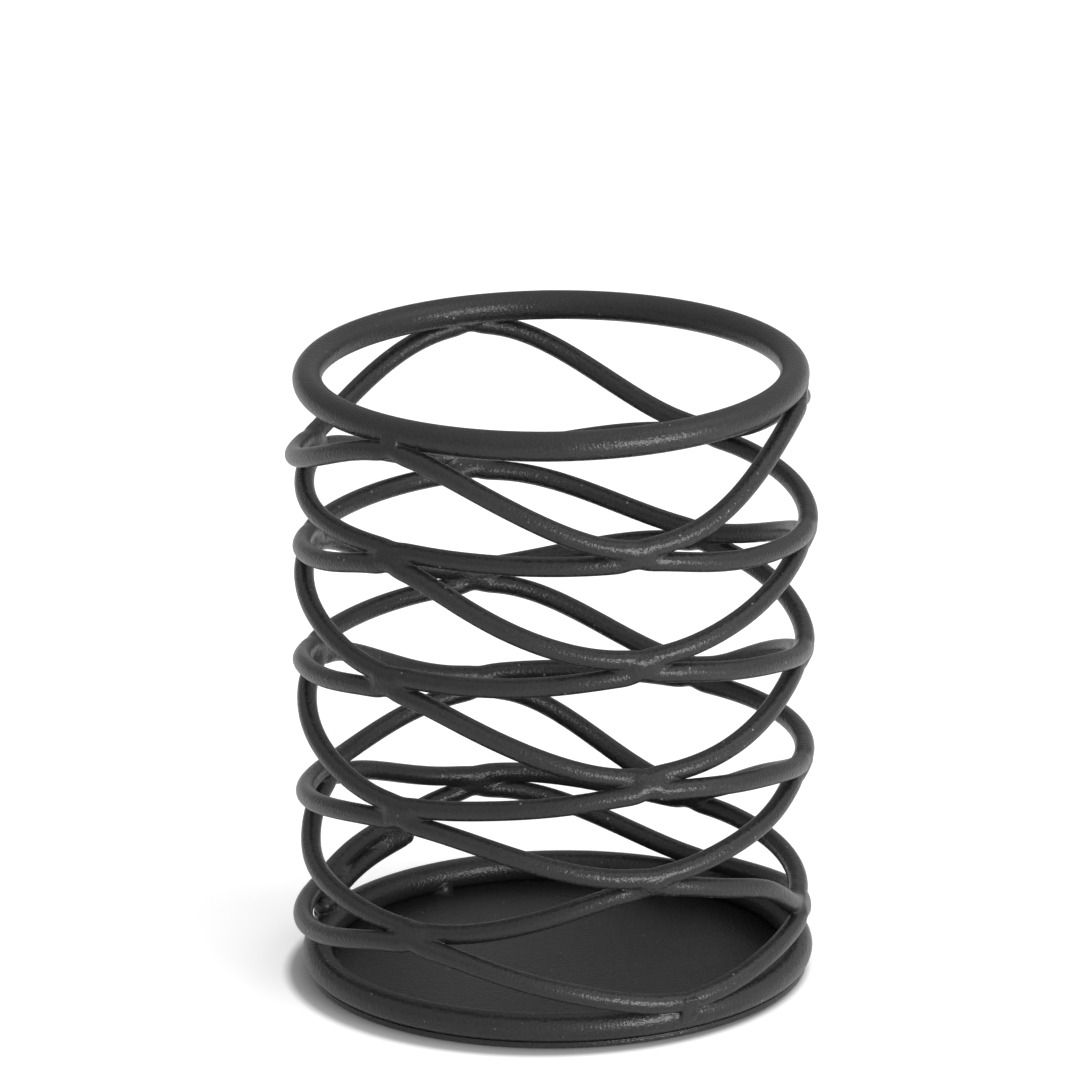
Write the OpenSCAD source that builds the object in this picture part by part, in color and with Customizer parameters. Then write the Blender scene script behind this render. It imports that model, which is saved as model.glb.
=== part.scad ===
// Round, open-topped table holder of welded wire: a rim ring and a foot ring of thick wire, nine
// wave rings of thin wire stacked between them, and a flat base disc. The rings touch where one
// ring's trough rests on the next ring's peak, and each touch is a resistance weld with a small web.
// The lowest wave ring is closed by a lap: its wire's tail runs on under it and onto the foot ring.
// The frame stands on Z = 0 with its axis on Z. Azimuth 0 is the front, at -Y, and 90 is at +X.

/* [Overall] */
// Height from the table to the top of the rim
height = 102; // [80:1:150]
// Outer diameter of the rim ring and of the foot ring
ring_diameter = 82.5; // [60:0.5:120]

/* [Wire] */
// Diameter of the thick wire in the rim ring and the foot ring
thick_wire = 4.8; // [3.8:0.1:6.5]
// Diameter of the thin wire in the wave rings
thin_wire = 3.2; // [2.4:0.1:4.2]
// How far two wires are pressed into each other at a weld
set_down = 0.5; // [0.2:0.05:0.8]

/* [Wave rings] */
// How far the side of a wave ring stands out past the side of the rim, at the middle of the rings
wave_proud = 0.45; // [0:0.05:1]

// How far the lapped tail is pressed into the lowest wave ring along its length
lap_press = 0.15; // [0.05:0.05:0.4]

/* [Welds] */
// Width of a weld web at its waist, where the two wires meet
weld_waist = 2.5; // [1.6:0.1:3]
// Width of a weld web where it runs into the wires
weld_root = 2.9; // [1.8:0.1:3]

/* [Base] */
// Thickness of the base disc
base_thickness = 0.8; // [0.6:0.1:1.6]
// How far the edge of the base disc lies inside the side of the foot ring
base_inset = 1; // [0.4:0.1:2]
// Chamfer around the top edge of the base disc
base_edge = 0.2; // [0.1:0.05:0.4]
// How far the foot ring is pressed into the base disc
base_set_down = 0.1; // [0.05:0.05:0.3]
// Diameter of a tack weld between the base disc and the foot ring
tack_size = 2.6; // [1.6:0.1:3.4]

/* [Hidden] */
coat = "#3a3a3c";
$fn = 96;

// Azimuths of the three welds of each level, from the rim down to the foot
weld_turns = [
    [-38, 82, 199],
    [19, 143, 252],
    [-40, 84, 199],
    [20, 143, 257],
    [-41, 84, 199],
    [21, 145, 254],
    [-37, 79, 198],
    [22, 146, 247],
    [-34, 80, 200],
    [30, 140, 254]
];
// The real frame is bent and stacked by hand, so its rings aren't quite even. The tables that
// follow are shares, chosen by hand, of the sizes that they follow. Heights of the welds between
// two wave rings, as shares of the wall from the foot ring's top to the rim's underside:
weld_height_shares = [
    [0.825, 0.81, 0.86],
    [0.8, 0.745, 0.735],
    [0.625, 0.615, 0.7],
    [0.575, 0.525, 0.525],
    [0.41, 0.36, 0.485],
    [0.345, 0.33, 0.33],
    [0.23, 0.13, 0.245],
    [0.12, 0.065, 0.14]
];
// How much larger each wave ring's radius is than the plain one, and how far its centre lies to
// the right and to the back of the frame's axis, as shares of the thin wire's diameter:
ring_size_shares = [0.1, 0.05, -0.05, 0, -0.1, -0.05, -0.15, -0.25, 0.05];
ring_right_shares = [-0.2, 0.2, -0.05, 0.05, -0.2, 0.05, -0.2, -0.1, -0.25];
ring_back_shares = [-0.05, 0.35, -0.1, 0.05, 0.05, -0.35, -0.4, 0, -0.3];
// How far the middle of each stretch between two welds leans towards the stretch's start, and how
// flat that middle is, as shares of the stretch, in the order in which the ring is welded:
wave_lean_shares = [
    [0, -0.1, 0, 0, 0, -0.3],
    [0, 0.5, 0, 0, 0, 0.8],
    [0.3, -0.1, 0, 0, 0, -0.3],
    [-0.7, 0, 0, 0, 0, 0],
    [0.1, -0.3, -0.3, 0, 0, 0],
    [0, -0.2, 0, 0, 0, 0.1],
    [0, -0.2, -0.1, 0, 0, -0.2],
    [-0.2, -0.4, 0, 0, 0, 0.6],
    [0.1, 0.3, 0, 0, 0, -0.6]
];
wave_flat_shares = [
    [0.1, -0.1, 0, 0, 0, 0.1],
    [0, 0.3, 0.2, 0, 0, 0.1],
    [0.1, 0.1, 0.1, 0, 0, 0.3],
    [0.1, 0.3, 0.1, 0, 0, 0.2],
    [0.1, 0, 0.2, 0, 0, 0.4],
    [0.3, 0.3, 0, 0, 0, 0.2],
    [0, 0.3, 0.3, 0, 0, 0.1],
    [0.1, 0.4, 0.2, 0, 0, 0.5],
    [0.2, 0, 0, 0, 0.4, 0.1]
];
wave_rings = len(weld_turns) - 1;
welds_per_level = len(weld_turns[0]);

// The tail: azimuths of its two ends, of its weld to the foot ring and of its welds to the ring
// above it. The last one of the lowest level's welds is left out: there the tail carries the ring.
tail_turns = [219, 254.5];
tail_foot_turn = 251.5;
tail_ring_turns = [224, 245];
tail_column = welds_per_level - 1;
// How much larger the tail's radius is than the middle ring's, as a share of the thin wire
tail_size_share = -0.19;
tail_steps = 8;

// Facets of a wave ring, around the frame and around the wire
wave_steps = 72;
wire_sides = 10;
// Facets of the foot ring's round where it trims the small tack welds
trim_facets = 240;

thick_r = thick_wire / 2;
thin_r = thin_wire / 2;
ring_r = ring_diameter / 2 - thick_r;
rim_z = height - thick_r;
foot_z = base_thickness + thick_r - base_set_down;
wall_bottom = foot_z + thick_r;
wall_height = rim_z - thick_r - wall_bottom;

wall_r = ring_diameter / 2 + wave_proud - thin_r;
tail_r = wall_r + thin_wire * tail_size_share;

base_r = ring_diameter / 2 - base_inset;
tack_count = 6;
tack_r = tack_size / 2;
// A tack's dome is centred on the circle where its top just meets the foot ring's inner side
tack_gap = foot_z - base_thickness - tack_r;
tack_at_r = ring_r - sqrt(pow(thick_r, 2) - pow(tack_gap, 2));

function is_odd(n) = n % 2 == 1;

// Centreline radius of wave ring n at an azimuth, seen from the frame's axis
function wave_r(n, turn) = wall_r + thin_wire * (ring_size_shares[n - 1]
    + ring_right_shares[n - 1] * sin(turn) - ring_back_shares[n - 1] * cos(turn));

// Rings are counted from the rim, which is 0, and the foot ring comes after the last wave ring.
// Level n has the welds between ring n and ring n + 1.
function is_thick(n) = n == 0 || n > wave_rings;
function ring_at(n, turn) = is_thick(n) ? ring_r : wave_r(n, turn);
function wire_r(n) = is_thick(n) ? thick_r : thin_r;

// How far the upper wire's centre lies outside the lower wire's at the weld in column c of a
// level, and how far above it, when the two wires are pressed into each other by set_down
function weld_out(level, c) =
    ring_at(level, weld_turns[level][c]) - ring_at(level + 1, weld_turns[level][c]);
function weld_reach(level) = wire_r(level) + wire_r(level + 1) - set_down;
function weld_rise(level, c) = sqrt(pow(weld_reach(level), 2) - pow(weld_out(level, c), 2));

// Heights of the lower and the upper wire's centre at that weld
function weld_z(level, c) = wall_bottom + wall_height * weld_height_shares[level - 1][c];
function lower_z(level, c) =
    level == 0 ? rim_z - weld_rise(level, c)
    : level == wave_rings ? foot_z
    : weld_z(level, c) - weld_rise(level, c) / 2;
function upper_z(level, c) =
    level == wave_rings && c == tail_column
        ? foot_z + tail_rise + tail_drop(weld_turns[level][c])
        : lower_z(level, c) + weld_rise(level, c);

// How far the tail lies above the foot ring at its weld, and how far under the lowest wave ring
tail_rise = sqrt(pow(weld_reach(wave_rings), 2) - pow(tail_r - ring_r, 2));
function tail_out(turn) = wave_r(wave_rings, turn) - tail_r;
function tail_drop(turn) = sqrt(pow(thin_wire - lap_press, 2) - pow(tail_out(turn), 2));

// The six places where wave ring n is welded, as azimuth and height, in order around the frame.
// Odd rings start at a peak and even ones at a trough, and the first place closes the list.
function welds_of(n) = [for (c = [0 : welds_per_level - 1]) for (second = [false, true])
    is_odd(n) != second
        ? [weld_turns[n - 1][c], lower_z(n - 1, c)]
        : [weld_turns[n][c], upper_z(n, c)]];
function closed(places) = concat(places, [[places[0][0] + 360, places[0][1]]]);

// Height of wave ring n at an azimuth: level at each weld, with a cosine swing between two welds
function wave_z(n, places, turn) =
    let (
        from_first = turn >= places[0][0] + 360 ? turn - 360 : turn,
        phase = lookup(from_first, [for (i = [0 : len(places) - 1]) [places[i][0], i]]),
        i = min(floor(phase), len(places) - 2),
        way = phase - i,
        lean = wave_lean_shares[n - 1][i] * way * (1 - way),
        flat = wave_flat_shares[n - 1][i] * sin(360 * way) / (2 * PI),
        swing = (1 - cos(180 * (way + lean + flat))) / 2
    )
    places[i][1] + (places[i + 1][1] - places[i][1]) * swing;

function out_from_axis(turn) = [sin(turn), -cos(turn), 0];
function on_wall(r, turn, z) = r * out_from_axis(turn) + [0, 0, z];

// Points around a thin wire's section. It stands upright on the frame, across the wire's way.
function wire_section(at, turn, way) =
    let (out = out_from_axis(turn), up = cross(out, way / norm(way)))
    [for (k = [0 : wire_sides - 1])
        at + thin_r * (cos(360 * k / wire_sides) * out + sin(360 * k / wire_sides) * up)];

// Two facets for each side of the wire between section s and section t
function wire_sleeve(s, t) = [for (k = [0 : wire_sides - 1])
    let (
        m = (k + 1) % wire_sides,
        a = s * wire_sides + k,
        b = s * wire_sides + m,
        c = t * wire_sides + m,
        d = t * wire_sides + k
    )
    for (face = [[a, b, c], [a, c, d]]) face];

// Wave ring n: a round wire swept along its closed wave
module wave_ring(n) {
    places = closed(welds_of(n));
    path = [for (s = [0 : wave_steps - 1])
        let (turn = 360 * s / wave_steps)
            on_wall(wave_r(n, turn), turn, wave_z(n, places, turn))];
    skin = [for (s = [0 : wave_steps - 1])
        let (
            ahead = path[(s + 1) % wave_steps],
            behind = path[(s + wave_steps - 1) % wave_steps]
        )
        for (point = wire_section(path[s], 360 * s / wave_steps, ahead - behind)) point];
    faces = [for (s = [0 : wave_steps - 1])
        for (face = wire_sleeve(s, (s + 1) % wave_steps)) face];
    color(coat) polyhedron(points = skin, faces = faces, convexity = 8);
}

// The tail of the lowest wave ring's wire, under the ring at the left of the back
module ring_tail() {
    places = closed(welds_of(wave_rings));
    turns = [for (s = [0 : tail_steps])
        tail_turns[0] + (tail_turns[1] - tail_turns[0]) * s / tail_steps];
    path = [for (turn = turns)
        on_wall(tail_r, turn, wave_z(wave_rings, places, turn) - tail_drop(turn))];
    skin = [for (s = [0 : tail_steps])
        let (ahead = path[min(s + 1, tail_steps)], behind = path[max(s - 1, 0)])
        for (point = wire_section(path[s], turns[s], ahead - behind)) point];
    rear_end = [for (k = [wire_sides - 1 : -1 : 0]) k];
    foot_end = [for (k = [0 : wire_sides - 1]) tail_steps * wire_sides + k];
    sleeves = [for (s = [0 : tail_steps - 1]) for (face = wire_sleeve(s, s + 1)) face];
    color(coat) polyhedron(points = skin, faces = concat([rear_end, foot_end], sleeves));
}

// A plain ring of thick wire
module thick_ring(z) {
    translate([0, 0, z]) rotate_extrude() translate([ring_r, 0]) circle(r = thick_r);
}

module rim_ring() {
    color(coat) thick_ring(rim_z);
}

module foot_ring() {
    color(coat) thick_ring(foot_z);
}

// The base: a stamped disc, its top edge broken, that the foot ring stands on
module base_disc() {
    color(coat) rotate_extrude() polygon([
        [0, 0],
        [base_r, 0],
        [base_r, base_thickness - base_edge],
        [base_r - base_edge, base_thickness],
        [0, base_thickness]
    ]);
}

// A weld web, a spool with its axis on the line between the two wires' centres. It starts at the
// lower wire's centre, has its waist where the wires meet and ends at the upper wire's centre.
module weld_web(low_wire_r, high_wire_r) {
    waist_r = weld_waist / 2;
    root_r = weld_root / 2;
    below = low_wire_r - set_down / 2;
    above = high_wire_r - set_down / 2;
    translate([0, 0, below]) rotate_extrude() polygon([
        [0, -below],
        [root_r, -below],
        [root_r, -below / 2],
        [waist_r, 0],
        [root_r, above / 2],
        [root_r, above],
        [0, above]
    ]);
}

// A web at one azimuth, from the lower wire's centre at radius r and height z. The upper wire's
// centre lies out further from the axis and rise higher.
module web_at(turn, r, z, out, rise, low_wire_r, high_wire_r) {
    rotate([0, 0, turn - 90]) translate([r, 0, z]) rotate([0, atan2(out, rise), 0])
        weld_web(low_wire_r, high_wire_r);
}

// The webs in some columns of one level, each from the lower wire's centre to the upper wire's
module level_welds(level, columns) {
    for (c = [0 : columns - 1])
        let (turn = weld_turns[level][c])
            web_at(turn, ring_at(level + 1, turn), lower_z(level, c), weld_out(level, c),
                weld_rise(level, c), wire_r(level + 1), wire_r(level));
}

module rim_welds() {
    color(coat) level_welds(0, welds_per_level);
}

// The webs under wave ring n, between it and ring n + 1
module wave_welds(n) {
    color(coat) level_welds(n, welds_per_level);
}

module foot_welds() {
    color(coat) level_welds(wave_rings, tail_column);
}

// The tail's webs: one down to the foot ring and two up to the lowest wave ring
module tail_welds() {
    places = closed(welds_of(wave_rings));
    color(coat) {
        web_at(tail_foot_turn, ring_r, foot_z, tail_r - ring_r, tail_rise, thick_r, thin_r);
        for (turn = tail_ring_turns)
            web_at(turn, tail_r, wave_z(wave_rings, places, turn) - tail_drop(turn),
                tail_out(turn), tail_drop(turn), thin_r, thin_r);
    }
}

// Tack welds: fillets in the corner between the foot ring's inner side and the base disc
module base_welds() {
    color(coat) difference() {
        for (i = [0 : tack_count - 1])
            rotate([0, 0, 360 * (i + 0.5) / tack_count])
                translate([tack_at_r, 0, base_thickness])
                    intersection() {
                        sphere(r = tack_r);
                        translate([-tack_r, -tack_r, 0]) cube([tack_size, tack_size, tack_r]);
                    }
        thick_ring(foot_z, $fn = trim_facets);
    }
}

rim_ring();
wave_ring(1);  // wave_ring_1
wave_ring(2);  // wave_ring_2
wave_ring(3);  // wave_ring_3
wave_ring(4);  // wave_ring_4
wave_ring(5);  // wave_ring_5
wave_ring(6);  // wave_ring_6
wave_ring(7);  // wave_ring_7
wave_ring(8);  // wave_ring_8
wave_ring(9);  // wave_ring_9
ring_tail();
foot_ring();
base_disc();
rim_welds();
wave_welds(1);  // wave_welds_1_2
wave_welds(2);  // wave_welds_2_3
wave_welds(3);  // wave_welds_3_4
wave_welds(4);  // wave_welds_4_5
wave_welds(5);  // wave_welds_5_6
wave_welds(6);  // wave_welds_6_7
wave_welds(7);  // wave_welds_7_8
wave_welds(8);  // wave_welds_8_9
foot_welds();
tail_welds();
base_welds();
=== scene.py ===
import math

import bmesh
import bpy
import numpy as np
from mathutils import Matrix, Vector, noise


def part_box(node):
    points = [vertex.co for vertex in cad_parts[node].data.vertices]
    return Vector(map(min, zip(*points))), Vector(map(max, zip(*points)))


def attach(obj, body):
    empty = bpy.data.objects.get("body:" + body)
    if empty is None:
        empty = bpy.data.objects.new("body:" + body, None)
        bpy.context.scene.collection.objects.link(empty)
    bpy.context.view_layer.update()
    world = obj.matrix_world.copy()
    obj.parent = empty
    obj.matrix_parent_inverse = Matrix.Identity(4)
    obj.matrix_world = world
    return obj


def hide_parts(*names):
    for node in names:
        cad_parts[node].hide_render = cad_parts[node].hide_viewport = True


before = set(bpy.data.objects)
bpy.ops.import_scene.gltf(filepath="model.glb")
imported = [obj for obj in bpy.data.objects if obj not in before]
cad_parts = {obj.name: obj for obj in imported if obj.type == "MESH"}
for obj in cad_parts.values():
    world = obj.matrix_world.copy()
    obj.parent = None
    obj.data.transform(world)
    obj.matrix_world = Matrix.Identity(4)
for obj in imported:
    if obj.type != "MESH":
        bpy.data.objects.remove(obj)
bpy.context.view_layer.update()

# The base disc: a round of thin steel sheet, stamped out with its edges eased, on which the whole
# frame stands. It is powder coated in one go with the wires welded to it, so the charcoal coat and
# its fine grain are made here, for every piece.
MM = 0.001
disc_turns = 288
disc_edge = 0.2 * MM
disc_edge_steps = 5
disc_face_steps = 24


class Shade:
    """A socket in a material. Sums and products of shades and numbers add Math nodes."""

    def __init__(self, tree, socket=None):
        self.tree = tree
        self.socket = socket

    def node(self, kind, settings, sockets, output=0):
        """Adds a node: its settings first, then the values or links of its sockets."""
        made = self.tree.nodes.new(kind)
        for name, value in settings.items():
            if name == "stops":
                for stop, (at, level) in zip(made.color_ramp.elements, value):
                    stop.position = at
                    stop.color = (level, level, level, 1)
            else:
                setattr(made, name, value)
        for name, value in sockets.items():
            if isinstance(value, Shade):
                self.tree.links.new(value.socket, made.inputs[name])
            else:
                made.inputs[name].default_value = value
        return Shade(self.tree, made.outputs[output] if made.outputs else None)

    def math(self, operation, first, second):
        return self.node("ShaderNodeMath", {"operation": operation}, {0: first, 1: second})

    def __add__(self, other):
        return self.math("ADD", self, other)

    __radd__ = __add__

    def __sub__(self, other):
        return self.math("SUBTRACT", self, other)

    def __rsub__(self, other):
        return self.math("SUBTRACT", other, self)

    def __mul__(self, other):
        return self.math("MULTIPLY", self, other)

    __rmul__ = __mul__


def grain(shade, place, size, detail, roughness):
    """A noise whose grains are about size metres across, from 0 to 1."""
    return shade.node(
        "ShaderNodeTexNoise",
        {"noise_dimensions": "3D"},
        {"Vector": place, "Scale": 1 / size, "Detail": detail, "Roughness": roughness},
    )


powder_size = 0.46 * MM
ripple_size = 1.6 * MM
cloud_size = 14 * MM
speck_spacing = 1.5 * MM
painted_glint_share = 0.75
coat_relief = 0.2 * MM
coat_roughness = 0.27
powder_roughness = 0.08
coat_gloss = 0.34
coat_dark = (0.010, 0.010, 0.0104, 1)
coat_light = (0.020, 0.020, 0.0204, 1)
painted_glint_pale = (0.24, 0.24, 0.235, 1)

coat = bpy.data.materials.new("charcoal_powder_coat")
coat.use_nodes = True
coat.node_tree.nodes.clear()
paint = Shade(coat.node_tree)
place = paint.node("ShaderNodeTexCoord", {}, {}, output="Object")
# Cured powder lies in fine grains over a soft ripple, and settles a little unevenly
powder = grain(paint, place, powder_size, 1.0, 0.5)
ripple = grain(paint, place, ripple_size, 2.0, 0.5)
cloud = grain(paint, place, cloud_size, 3.0, 0.55)
# A few grains are painted pale specks: painted glints that stand in for sparkle
cells = {"Vector": place, "Scale": 1 / speck_spacing, "Randomness": 1.0}
cell = paint.node("ShaderNodeTexVoronoi", {"feature": "F1"}, cells, output="Distance")
chance = paint.node("ShaderNodeTexWhiteNoise", {"noise_dimensions": "3D"}, {
    "Vector": paint.node("ShaderNodeTexVoronoi", {"feature": "F1"}, cells, output="Position"),
}, output="Value")
speck_core = paint.node("ShaderNodeValToRGB", {"stops": [(0.06, 1), (0.15, 0)]}, {"Fac": cell})
speck_pick = paint.node("ShaderNodeValToRGB", {"stops": [(0.86, 0), (0.93, 1)]}, {"Fac": chance})
speck = speck_core * speck_pick
tone = paint.node("ShaderNodeValToRGB", {"stops": [(0.3, 0), (0.72, 1)]}, {
    "Fac": 0.55 * powder + 0.45 * cloud,
})
flat_colour = paint.node("ShaderNodeMix", {"data_type": "RGBA"}, {
    "Factor": tone, "A": coat_dark, "B": coat_light,
}, output=2)
# The pale specks go into the coat's colour as painted glints
colour = paint.node("ShaderNodeMix", {"data_type": "RGBA"}, {
    "Factor": speck * painted_glint_share, "A": flat_colour, "B": painted_glint_pale,
}, output=2)
relief = paint.node("ShaderNodeBump", {}, {
    "Strength": 1.0,
    "Distance": coat_relief,
    "Height": 0.58 * powder + 0.2 * ripple + 0.1 * speck,
})
shader = paint.node("ShaderNodeBsdfPrincipled", {}, {
    "Base Color": colour,
    "Roughness": coat_roughness + powder_roughness * powder,
    "IOR": 1.5,
    "Specular IOR Level": coat_gloss,
    "Normal": relief,
})
paint.node("ShaderNodeOutputMaterial", {}, {"Surface": shader})


def coated(name, points, faces, *cad_nodes):
    """A smooth, coated piece of these points and faces that stands for its CAD nodes."""
    mesh = bpy.data.meshes.new(name)
    mesh.from_pydata([tuple(p) for p in points], [], faces)
    mesh.validate()
    mesh.polygons.foreach_set("use_smooth", [True] * len(mesh.polygons))
    mesh.materials.append(coat)
    piece = bpy.data.objects.new(name, mesh)
    bpy.context.scene.collection.objects.link(piece)
    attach(piece, "root")
    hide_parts(*cad_nodes)


def lathed(profile, turns):
    """Points and faces of a profile of (radius, height) turned about Z. Its ends are on the axis."""
    ring = [(math.sin(2 * math.pi * t / turns), -math.cos(2 * math.pi * t / turns))
            for t in range(turns)]
    inner = profile[1:-1]
    points = [(x * r, y * r, z) for r, z in inner for x, y in ring]
    points += [(0, 0, profile[0][1]), (0, 0, profile[-1][1])]
    first, last = len(points) - 2, len(points) - 1
    faces = []
    for t in range(turns):
        u = (t + 1) % turns
        faces.append((first, u, t))
        for k in range(len(inner) - 1):
            a, b = k * turns, (k + 1) * turns
            faces.append((a + t, a + u, b + u, b + t))
        top = (len(inner) - 1) * turns
        faces.append((last, top + t, top + u))
    return points, faces


disc_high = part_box("base_disc")[1]
disc_r, disc_top = disc_high.x, disc_high.z
eased = [(math.cos(math.radians(90 * k / disc_edge_steps)),
          math.sin(math.radians(90 * k / disc_edge_steps))) for k in range(disc_edge_steps + 1)]
face_r = [(disc_r - disc_edge) * k / disc_face_steps for k in range(1, disc_face_steps)]
profile = [(0, 0)] + [(r, 0) for r in face_r]
profile += [(disc_r - disc_edge * (1 - c), disc_edge * (1 - s)) for c, s in reversed(eased)]
profile += [(disc_r - disc_edge * (1 - c), disc_top - disc_edge * (1 - s)) for c, s in eased]
profile += [(r, disc_top) for r in reversed(face_r)] + [(0, disc_top)]
points, faces = lathed(profile, disc_turns)
coated("base_sheet", points, faces, "base_disc")

# The foot ring: one length of thick steel wire rolled into a hoop, its two ends butt welded and
# dressed at the back. It is pressed a little into the base disc, and the whole cage stands on it.
loop_steps = 720
thick_sides = 36
joint_turn = 172
joint_half_width = 2.2
joint_swell = 0.014 * MM


def around(turns):
    """Unit vectors out from the axis at azimuths in degrees: 0 at the front, 90 at +X."""
    a = np.radians(turns)
    return np.stack([np.sin(a), -np.cos(a), np.zeros_like(a)], axis=-1)


def swept(centres, radii, sides, closed=True):
    """Points and faces of a round wire along a line of centres. An open one gets two flat ends."""
    if closed:
        along = np.roll(centres, -1, axis=0) - np.roll(centres, 1, axis=0)
    else:
        along = np.gradient(centres, axis=0)
    along /= np.linalg.norm(along, axis=1)[:, None]
    out = centres * [1, 1, 0]
    out /= np.linalg.norm(out, axis=1)[:, None]
    up = np.cross(out, along)
    up /= np.linalg.norm(up, axis=1)[:, None]
    out = np.cross(along, up)
    angle = 2 * math.pi * np.arange(sides) / sides
    spokes = np.cos(angle)[None, :, None] * out[:, None] + np.sin(angle)[None, :, None] * up[:, None]
    points = (centres[:, None] + radii[:, None, None] * spokes).reshape(-1, 3)
    steps = len(centres)
    faces = []
    for s in range(steps if closed else steps - 1):
        t = (s + 1) % steps
        for k in range(sides):
            m = (k + 1) % sides
            faces.append((s * sides + k, t * sides + k, t * sides + m, s * sides + m))
    if not closed:
        points = np.concatenate([points, centres[:1], centres[-1:]])
        last = (steps - 1) * sides
        for k in range(sides):
            m = (k + 1) % sides
            faces.append((k, m, len(points) - 2))
            faces.append((last + m, last + k, len(points) - 1))
    return points, faces


def hoop_line(node):
    """Centreline and wire radius of a flat hoop, from its CAD box."""
    low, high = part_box(node)
    wire_r = (high.z - low.z) / 2
    turns = 360 * np.arange(loop_steps) / loop_steps
    centres = around(turns) * (high.x - wire_r) + [0, 0, (low.z + high.z) / 2]
    return centres, np.full(loop_steps, wire_r)


def dressed_joint(turns, at):
    """How far the ground butt joint at an azimuth swells, from 0 to 1."""
    return np.exp(-(((turns - at + 180) % 360 - 180) / joint_half_width) ** 2)


def hoop(name, node, at):
    """A hoop of thick wire whose joint, ground flush, is at an azimuth in degrees."""
    centres, wire_r = hoop_line(node)
    turns = 360 * np.arange(loop_steps) / loop_steps
    radii = wire_r + joint_swell * (dressed_joint(turns, at) - 1)
    points, faces = swept(centres, radii, thick_sides)
    coated(name, points, faces, node)


hoop("foot_hoop", "foot_ring", joint_turn)

# The corner bead: powder gathers in the narrow corner between the foot ring and the disc's edge,
# and cures there as a thin bead of coat all the way round.
corner_bead_r = 0.19 * MM
corner_bead_lift = 0.03 * MM
corner_bead_sides = 10
corner_bead_steps = 360
bead_turns = 360 * np.arange(corner_bead_steps) / corner_bead_steps
bead_line = around(bead_turns) * (disc_r - corner_bead_r) + [0, 0, disc_top + corner_bead_lift]
points, faces = swept(bead_line, np.full(corner_bead_steps, corner_bead_r), corner_bead_sides)
coated("corner_bead", points, faces, "base_disc")

# The wave rings: nine closed rings of thin wire, each bent into three waves by hand over a jig, so
# no two are quite alike. Every trough rests on a peak of the ring below it, and where the welder's
# jaws squeezed the pair, each wire has a shallow dent on its far side.
wave_rings = 9
cad_step = 5
cad_sections = 360 // cad_step
smooth_steps = loop_steps // cad_sections
thin_sides = 28
web_break = 1.5
dent_under = 0.55 * MM
dent_over = 0.2 * MM
dent_half_width = 1.8 * MM


def solid_points(node):
    """The different corners of a CAD solid, and their azimuths in degrees."""
    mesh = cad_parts[node].data
    co = np.empty(len(mesh.vertices) * 3)
    mesh.vertices.foreach_get("co", co)
    co = np.unique(np.round(co.reshape(-1, 3), 6), axis=0)
    return co, np.degrees(np.arctan2(co[:, 0], -co[:, 1])) % 360


def eased_between(values, times):
    """A closed row of values with times - 1 more between each two, on one smooth curve."""
    t = np.arange(len(values) * times) / times
    i = np.floor(t).astype(int)
    f = t - i
    a, b, c, d = (np.take(values, i + k, mode="wrap") for k in (-1, 0, 1, 2))
    return b + 0.5 * f * (c - a + f * (2 * a - 5 * b + 4 * c - d + f * (3 * (b - c) + d - a)))


def wave_line(node):
    """Centreline and wire radius of a wave ring, from the rings of points of its CAD solid."""
    co, turns = solid_points(node)
    section = np.round(turns / cad_step) % cad_sections
    middles = np.array([co[section == s].mean(axis=0) for s in range(cad_sections)])
    wire_r = np.linalg.norm(co[section == 0] - middles[0], axis=1).mean()
    ring_r = eased_between(np.hypot(middles[:, 0], middles[:, 1]), smooth_steps)
    height = eased_between(middles[:, 2], smooth_steps)
    turns = 360 * np.arange(loop_steps) / loop_steps
    centres = around(turns) * ring_r[:, None] + height[:, None] * [0, 0, 1]
    return centres, np.full(loop_steps, wire_r)


def weld_turns_of(node):
    """Azimuths of the separate webs of a weld node."""
    turns = np.sort(solid_points(node)[1])
    gaps = np.diff(np.append(turns, turns[0] + 360))
    breaks = np.flatnonzero(gaps > web_break)
    starts, ends = np.sort(turns[(breaks + 1) % len(turns)]), np.sort(turns[breaks])
    if ends[0] < starts[0]:
        ends = np.append(ends[1:], ends[0] + 360)
    return (starts + ends) / 2


lines = {"rim_ring": hoop_line("rim_ring"), "foot_ring": hoop_line("foot_ring")}
stack = ["foot_ring"] + ["wave_ring_%d" % n for n in range(wave_rings, 0, -1)] + ["rim_ring"]
between = ["foot_welds"]
between += ["wave_welds_%d_%d" % (n, n + 1) for n in range(wave_rings - 1, 0, -1)]
between += ["rim_welds"]
for node in stack[1:-1]:
    lines[node] = wave_line(node)
squeezed = {}
for node, below, above in zip(stack[1:-1], between, between[1:]):
    centres, wire_r = lines[node]
    place_in_stack = stack.index(node)
    push, pinch = np.zeros((loop_steps, 3)), np.zeros(loop_steps)
    for welds, partner, depth in ((below, stack[place_in_stack - 1], dent_over),
                                  (above, stack[place_in_stack + 1], dent_under)):
        for turn in weld_turns_of(welds):
            spot = int(round(turn * loop_steps / 360)) % loop_steps
            across = lines[partner][0][spot] - centres[spot]
            away = np.linalg.norm(centres - centres[spot], axis=1) / dent_half_width
            dent = depth / 2 * np.exp(-away ** 2)
            pinch += dent
            push += dent[:, None] * across / np.linalg.norm(across)
    squeezed[node] = (centres + push, wire_r - pinch)
for node, (centres, radii) in squeezed.items():
    lines[node] = (centres, radii)
    points, faces = swept(centres, radii, thin_sides)
    coated(node.replace("ring", "wire"), points, faces, node)

# The tail: the end of the lowest wave ring's wire, lapped under the ring at the left of the back. It
# is cropped square, its edge rounded by the coat, and carries the ring's trough on the foot ring.
tail_edge = 0.45 * MM
tail_edge_steps = 6
tail_trim = 3
tail_curve_degree = 5


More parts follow.
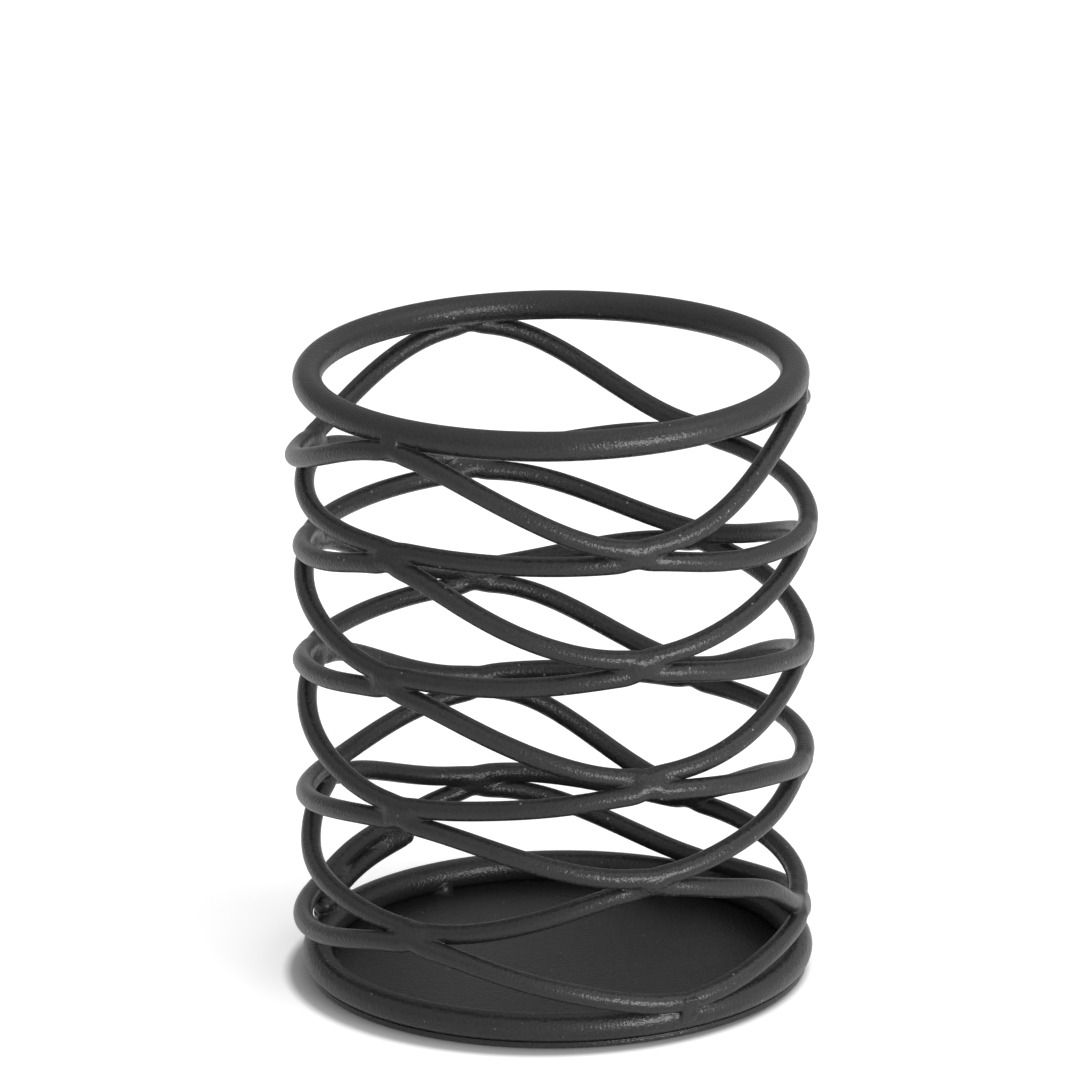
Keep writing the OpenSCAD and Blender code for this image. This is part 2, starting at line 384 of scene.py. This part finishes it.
def tail_line():
    """Centreline of the tail at every azimuth of the hoops, held at its ends, and its two ends."""
    co, turns = solid_points("ring_tail")
    order = np.argsort(turns)
    parts = np.split(order, np.flatnonzero(np.diff(turns[order]) > web_break) + 1)
    middles = np.array([co[part].mean(axis=0) for part in parts])
    at = np.degrees(np.arctan2(middles[:, 0], -middles[:, 1])) % 360
    mid = at.mean()
    rise = np.polyfit(at - mid, middles[:, 2], tail_curve_degree)
    ring_r = np.hypot(middles[:, 0], middles[:, 1]).mean()
    turns = np.clip(360 * np.arange(loop_steps) / loop_steps, at[0], at[-1])
    return around(turns) * ring_r + np.polyval(rise, turns - mid)[:, None] * [0, 0, 1], at[[0, -1]]


tail_centres, tail_ends = tail_line()
tail_r = lines["wave_ring_9"][1].max()
lines["ring_tail"] = (tail_centres, np.full(loop_steps, tail_r))
first = int(math.ceil(tail_ends[0] * loop_steps / 360))
last = int(math.floor(tail_ends[1] * loop_steps / 360))
run = tail_centres[first:last + 1]
radii = np.full(len(run), tail_r)
bends = np.radians(90 * np.arange(tail_edge_steps + 1) / tail_edge_steps)
# The last points of each end make way for the rounded edge
for end, inward in ((0, run[tail_trim - 1] - run[0]), (-1, run[-tail_trim] - run[-1])):
    inward = inward / np.linalg.norm(inward)
    corner = run[end] + inward * (tail_edge * (1 - np.sin(bends)))[:, None]
    corner_r = tail_r - tail_edge * (1 - np.cos(bends))
    if end == 0:
        run = np.concatenate([corner[::-1], run[tail_trim:]])
        radii = np.concatenate([corner_r[::-1], radii[tail_trim:]])
    else:
        run = np.concatenate([run[:-tail_trim], corner])
        radii = np.concatenate([radii[:-tail_trim], corner_r])
points, faces = swept(run, radii, thin_sides, closed=False)
coated("lapped_tail", points, faces, "ring_tail")

# The welds of the cage: where a trough meets a peak the two wires are squeezed together hot, so the
# metal fills the seam between them. Under the rim and over the foot ring it is pressed flat, into a
# pad flush with both wires, and here and there a bead is pushed out of the seam.
weld_reach = 7.0 * MM
weld_span = 20
weld_stretch = np.array([1.9, 1.0, 1.2])
weld_swell = 0.02 * MM
weld_sink = 0.1 * MM
sink_start = 1.9 * MM
sink_end = 3.1 * MM
sink_length_share = 0.45
cut_off_share = 1.15
# Each pad: its half width, how far its face lies under the wires, its fillet, and how far it runs
# up the upper wire, as a share of that wire's radius
rim_pad = (1.35 * MM, 0.06 * MM, 0.35 * MM, 0.0)
foot_pad = (1.4 * MM, -0.14 * MM, 0.35 * MM, 0.85)
soft_pad = (1.6 * MM, 0.4 * MM, 1.5 * MM, 0.0)
# Each seam: how far along the wires it fades, and its fillet
flat_seam = (1.9 * MM, 1.2 * MM)
soft_seam = (3.7 * MM, 2.3 * MM)
pad_round = 0.3 * MM
bead_r = 0.45 * MM
bead_size_range = (0.3, 1.15)
bead_depth_range = (0.75, 1.0)
bead_aside = 1.2 * MM
bead_blend = 0.5 * MM
lump_size = 1.3 * MM
lump_height = 0.04 * MM
ray_cells = 30
halvings = 15
weld_seed = 7


def ray_sphere():
    """Directions over a sphere, and the faces between them, from a cube whose sides are squares."""
    ball = bmesh.new()
    bmesh.ops.create_cube(ball, size=2)
    bmesh.ops.subdivide_edges(ball, edges=ball.edges[:], cuts=ray_cells - 1, use_grid_fill=True)
    rays = np.array([v.co for v in ball.verts])
    rays = np.tan(rays * math.pi / 4)
    sides = [tuple(v.index for v in f.verts) for f in ball.faces]
    ball.free()
    return rays / np.linalg.norm(rays, axis=1)[:, None], sides


def distance_to_wire(points, line, radii):
    """Distance of each point from the nearest part of a wire along an open line of points."""
    nearest = np.full(len(points), np.inf)
    for a, b, start_r, end_r in zip(line[:-1], line[1:], radii[:-1], radii[1:]):
        run = b - a
        t = np.clip((points - a) @ run / max(run @ run, 1e-15), 0, 1)
        gap = points - a - t[:, None] * run
        gap = np.sqrt(np.einsum("ij,ij->i", gap, gap)) - start_r - t * (end_r - start_r)
        nearest = np.minimum(nearest, gap)
    return nearest


def melted(first, second, blend):
    """Two distances joined into one with a fillet about blend wide."""
    overlap = np.maximum(blend - np.abs(first - second), 0)
    return np.minimum(first, second) - overlap ** 2 / (4 * np.maximum(blend, 1e-9))


rays, ray_faces = ray_sphere()


def skin_of(middle, axes, stretch, field):
    """Points where rays from a middle leave a field that is negative inside."""
    way = (rays * stretch) @ axes
    way /= np.linalg.norm(way, axis=1)[:, None]
    near, far = np.zeros(len(way)), np.full(len(way), 2 * weld_reach)
    for _ in range(halvings):
        half = (near + far) / 2
        inside = field(middle + half[:, None] * way) < 0
        near = np.where(inside, half, near)
        far = np.where(inside, far, half)
    return middle + near[:, None] * way, way


def box_distance(point, middle, half):
    """Distance of points from a box with rounded edges."""
    gap = np.abs(point - middle) - half + pad_round
    outside = np.linalg.norm(np.maximum(gap, 0), axis=1)
    return outside + np.minimum(gap.max(axis=1), 0) - pad_round


def weld(turn, low, high, luck):
    """One weld between the wires of two rings, as points."""
    spot = int(round(turn * loop_steps / 360)) % loop_steps
    span = np.arange(spot - weld_span, spot + weld_span + 1, 2) % loop_steps
    (low_line, low_radii), (high_line, high_radii) = lines[low], lines[high]
    low_at, high_at, low_r, high_r = low_line[spot], high_line[spot], low_radii[spot], high_radii[spot]
    across = high_at - low_at
    apart = np.linalg.norm(across)
    across /= apart
    out = around(np.array([turn]))[0]
    along = np.cross(across, out)
    along /= np.linalg.norm(along)
    out = np.cross(along, across)
    seam = low_at + across * (apart + low_r - high_r) / 2
    # The pad's face lies a little under the plane that touches both wires on the outside
    lean = math.asin((low_r - high_r) / apart)
    face = math.cos(lean) * out + math.sin(lean) * across
    upward = math.cos(lean) * across - math.sin(lean) * out
    pad, (seam_fade, seam_fillet) = soft_pad, soft_seam
    if high == "rim_ring":
        pad, (seam_fade, seam_fillet) = rim_pad, flat_seam
    if low == "foot_ring":
        pad, (seam_fade, seam_fillet) = foot_pad, flat_seam
    half_width, drop, blend, over = pad
    face_top = (low_at - seam) @ face + low_r - drop
    pad_low, pad_high = (low_at - seam) @ upward, (high_at - seam) @ upward + over * high_r
    pad_middle = np.array([0, face_top / 2, (pad_low + pad_high) / 2])
    pad_half = np.array([half_width, face_top / 2, (pad_high - pad_low) / 2])
    bead_at = seam + out * luck.uniform(*bead_depth_range) * face_top
    bead_at += along * luck.choice((-1, 1)) * bead_aside
    bead_size = bead_r * luck.uniform(*bead_size_range)

    def field(p):
        off = p - seam
        aside = off @ along
        fade = np.exp(-(aside / seam_fade) ** 2)
        wires = melted(distance_to_wire(p, low_line[span], low_radii[span]),
                       distance_to_wire(p, high_line[span], high_radii[span]), seam_fillet * fade)
        block = box_distance(np.stack([aside, off @ face, off @ upward], axis=1), pad_middle, pad_half)
        joined = melted(wires, block, blend)
        joined = melted(joined, np.linalg.norm(p - bead_at, axis=1) - bead_size, bead_blend)
        # Away from the seam the lump sinks into the wires, and it ends inside them
        away = np.sqrt((sink_length_share * aside) ** 2 + (off @ out) ** 2 + (off @ across) ** 2)
        sink = np.clip((away - sink_start) / (sink_end - sink_start), 0, 1)
        sink = sink * sink * (3 - 2 * sink)
        joined += (weld_sink + weld_swell) * sink - weld_swell
        return np.maximum(joined, np.maximum(np.abs(aside) - weld_reach, away - cut_off_share * sink_end))

    skin, way = skin_of(seam, np.array([along, out, across]), weld_stretch, field)
    off = skin - seam
    fade = np.exp(-(off @ along / seam_fade) ** 2) * (off @ out > 0)
    lumps = np.array([noise.noise(Vector(p / lump_size)) for p in skin])
    return skin + way * (lump_height * lumps * fade)[:, None]


luck = np.random.default_rng(weld_seed)
joints = [(node, [(low, high)] * 3) for node, low, high in zip(between, stack, stack[1:])]
joints.append(("tail_welds", [("ring_tail", stack[1]), ("ring_tail", stack[1]), (stack[0], "ring_tail")]))
for node, pairs in joints:
    points, faces = [], []
    for turn, (low, high) in zip(weld_turns_of(node), pairs):
        faces += [tuple(i + len(points) for i in side) for side in ray_faces]
        points += list(weld(turn, low, high, luck))
    coated(node.replace("welds", "weld_lumps"), points, faces, node)

# The tack welds that hold the base disc: six short fillets inside the foot ring, each melted into
# the ring's side and the sheet.
tack_count = 6
tack_step = 360 // tack_count
tack_reach = 2.6 * MM
tack_fillet = 2.6 * MM
tack_fade = 1.7 * MM
tack_outward = 0.35 * MM
tack_under = 0.05 * MM
tack_sink_start = 0.55
tack_stretch = np.array([1.3, 1, 0.8])


def tack(turn, at_r):
    """One tack weld at an azimuth and radius, as points."""
    out = around(np.array([turn]))[0]
    along = np.cross([0, 0, 1], out)
    centre_line, radii = lines["foot_ring"]
    ring_r = np.hypot(*centre_line[0][:2])
    ring_z = centre_line[0][2]
    middle = out * (at_r + tack_outward) + [0, 0, disc_top - tack_under]

    def field(p):
        aside = (p - middle) @ along
        fade = np.exp(-(aside / tack_fade) ** 2)
        to_wire = np.hypot(np.hypot(p[:, 0], p[:, 1]) - ring_r, p[:, 2] - ring_z) - radii[0]
        joined = melted(to_wire, p[:, 2] - disc_top, tack_fillet * fade)
        away = np.linalg.norm(p - middle, axis=1) / tack_reach
        sink = np.clip((away - tack_sink_start) / (1 - tack_sink_start), 0, 1)
        joined += weld_sink * sink * sink * (3 - 2 * sink)
        return np.maximum(np.maximum(joined, disc_edge - p[:, 2]), (away - 1) * tack_reach)

    return skin_of(middle, np.array([along, out, [0, 0, 1]]), tack_stretch, field)[0]


tack_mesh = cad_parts["base_welds"].data
tack_points = np.array([v.co for v in tack_mesh.vertices])
tack_azimuths = np.degrees(np.arctan2(tack_points[:, 0], -tack_points[:, 1])) % tack_step
tack_start = (tack_azimuths.min() + tack_azimuths.max()) / 2
tack_r = np.hypot(tack_points[:, 0], tack_points[:, 1])
points, faces = [], []
for k in range(tack_count):
    faces += [tuple(i + len(points) for i in side) for side in ray_faces]
    points += list(tack(tack_start + tack_step * k, (tack_r.min() + tack_r.max()) / 2))
coated("base_weld_lumps", points, faces, "base_welds")

# The rim ring: a hoop of the same thick wire as the foot ring, butt welded and dressed at the back,
# and welded onto the peaks of the top wave ring.
rim_joint_turn = 181
hoop("rim_hoop", "rim_ring", rim_joint_turn)

# The floor: a plain pale table under soft light, which goes to white and keeps the shadow, with painted
# shade in a strip round the foot. It lies a hair under the base disc, so that the two faces never share a
# plane.
floor_half = 6.0
floor_level = -0.05 * MM
table_white = 0.92
near_glow = 0.06
open_glow = 0.25
mirrored_glow = 0.12
painted_shade_depth = 0.6
strip_shift = (1.9 * MM, 1.6 * MM, 0)
strip_stops = [(0.411, 0), (0.429, 1)]
strip_unit = 100 * MM
contact_reach = 4.7 * MM
floor = bpy.data.meshes.new("floor")
floor.from_pydata(
    [(x * floor_half, y * floor_half, floor_level) for x, y in ((-1, -1), (1, -1), (1, 1), (-1, 1))],
    [], [(0, 1, 2, 3)])
floor_piece = bpy.data.objects.new("floor", floor)
bpy.context.scene.collection.objects.link(floor_piece)
pale = bpy.data.materials.new("pale_floor")
pale.use_nodes = True
pale.node_tree.nodes.clear()
ground = Shade(pale.node_tree)
seen = ground.node("ShaderNodeLightPath", {}, {}, output="Is Camera Ray")
mirrored = ground.node("ShaderNodeLightPath", {}, {}, output="Is Glossy Ray")
# A painted shadow: the strip round the foot is widest at the left of the front, and the glow that makes
# the table white stays off it
on_table = ground.node("ShaderNodeTexCoord", {}, {}, output="Object")
moved = ground.node("ShaderNodeVectorMath", {"operation": "ADD"}, {0: on_table, 1: strip_shift})
reach = ground.node("ShaderNodeVectorMath", {"operation": "LENGTH"}, {0: moved}, output="Value")
beyond_painted_shadow = ground.node("ShaderNodeValToRGB", {"stops": strip_stops}, {
    "Fac": 1 / strip_unit * reach,
})
open_sky = ground.node("ShaderNodeAmbientOcclusion", {"samples": 8}, {
    "Distance": contact_reach,
}, output="AO")
# Close to the foot the strip's colour is darker still: painted shade from ambient occlusion, which only
# the camera sees
lit = ground.node("ShaderNodeBsdfDiffuse", {}, {
    "Color": table_white * (1 - seen * (1 - beyond_painted_shadow) * (1 - painted_shade_depth * open_sky)),
})
glow = ground.node("ShaderNodeEmission", {}, {
    "Color": (1, 1, 1, 1),
    "Strength": seen * (near_glow + open_glow * beyond_painted_shadow) + mirrored_glow * mirrored,
})
both = ground.node("ShaderNodeAddShader", {}, {0: lit, 1: glow})
ground.node("ShaderNodeOutputMaterial", {}, {"Surface": both})
floor.materials.append(pale)

# Soft studio light, as the wires in the photograph mirror it: a white surround that is dimmer low
# down, at the left and behind, a strong soft box low at the right of the front, and a weak one high
# at the right.
surround_strength = 1.25
low_share = 0.74
rear_share = 0.5
left_share = 0.68
aim_height = 0.05
world = bpy.data.worlds.new("studio")
bpy.context.scene.world = world
world.use_nodes = True
world.node_tree.nodes.clear()
sky = Shade(world.node_tree)
is_seen = sky.node("ShaderNodeLightPath", {}, {}, output="Is Camera Ray")
toward = sky.node("ShaderNodeTexCoord", {}, {}, output="Generated")
rightward, rearward, upward = (
    sky.node("ShaderNodeSeparateXYZ", {}, {"Vector": toward}, output=axis) for axis in "XYZ")
overhead = sky.node("ShaderNodeValToRGB", {"stops": [(0.1, low_share), (0.9, 1)]}, {"Fac": upward})
behind = sky.node("ShaderNodeValToRGB", {"stops": [(0.1, 1), (0.9, rear_share)]}, {"Fac": rearward})
beside = sky.node("ShaderNodeValToRGB", {"stops": [(0.1, left_share), (0.9, 1)]}, {
    "Fac": 0.5 * rightward + 0.5,
})
surround = sky.node("ShaderNodeBackground", {}, {
    "Color": (1, 1, 1, 1),
    "Strength": surround_strength * overhead * behind * beside * (1 - is_seen) + is_seen,
})
sky.node("ShaderNodeOutputWorld", {}, {"Surface": surround})


def soft_box(name, turn, rise, away, width, height, power):
    """A soft box at an azimuth and elevation in degrees, facing the middle of the cage."""
    light = bpy.data.lights.new(name, "AREA")
    light.shape = "RECTANGLE"
    light.size = width
    light.size_y = height
    light.energy = power
    lamp = bpy.data.objects.new(name, light)
    bpy.context.scene.collection.objects.link(lamp)
    level = away * math.cos(math.radians(rise))
    at = Vector(around(np.array([turn]))[0] * level)
    at.z = away * math.sin(math.radians(rise))
    lamp.location = at + Vector((0, 0, aim_height))
    lamp.rotation_euler = (-at).to_track_quat("-Z", "Y").to_euler()


soft_box("key", turn=43, rise=8, away=0.8, width=0.46, height=0.27, power=5.2)
soft_box("side", turn=85, rise=50, away=1.0, width=0.5, height=0.5, power=0.8)

# The camera looks down at the cage through a long lens, as the photograph was taken. Its numbers
# come from a fit of the rings' outlines. Lengths are in millimetres.
image_size = 1080
focal_pixels = 11244.07
sensor = 36.0
camera_distance = 1800.0
camera_rise = math.radians(17.757)
camera_roll = math.radians(-0.692)
camera_target = Vector((-2.062, 0, 71.883))
camera_data = bpy.data.cameras.new("camera")
camera_data.sensor_width = sensor
camera_data.lens = focal_pixels * sensor / image_size
camera_data.clip_start = 0.05
camera_data.clip_end = 50
camera = bpy.data.objects.new("camera", camera_data)
bpy.context.scene.collection.objects.link(camera)
backwards = Vector((0, -math.cos(camera_rise), math.sin(camera_rise)))
level_right = Vector((1, 0, 0))
level_up = backwards.cross(level_right)
right = math.cos(camera_roll) * level_right + math.sin(camera_roll) * level_up
up = math.cos(camera_roll) * level_up - math.sin(camera_roll) * level_right
turned = Matrix((right, up, backwards)).transposed().to_4x4()
turned.translation = (camera_target + camera_distance * backwards) * MM
camera.matrix_world = turned
bpy.context.scene.camera = camera
bpy.context.scene.view_settings.view_transform = "Standard"
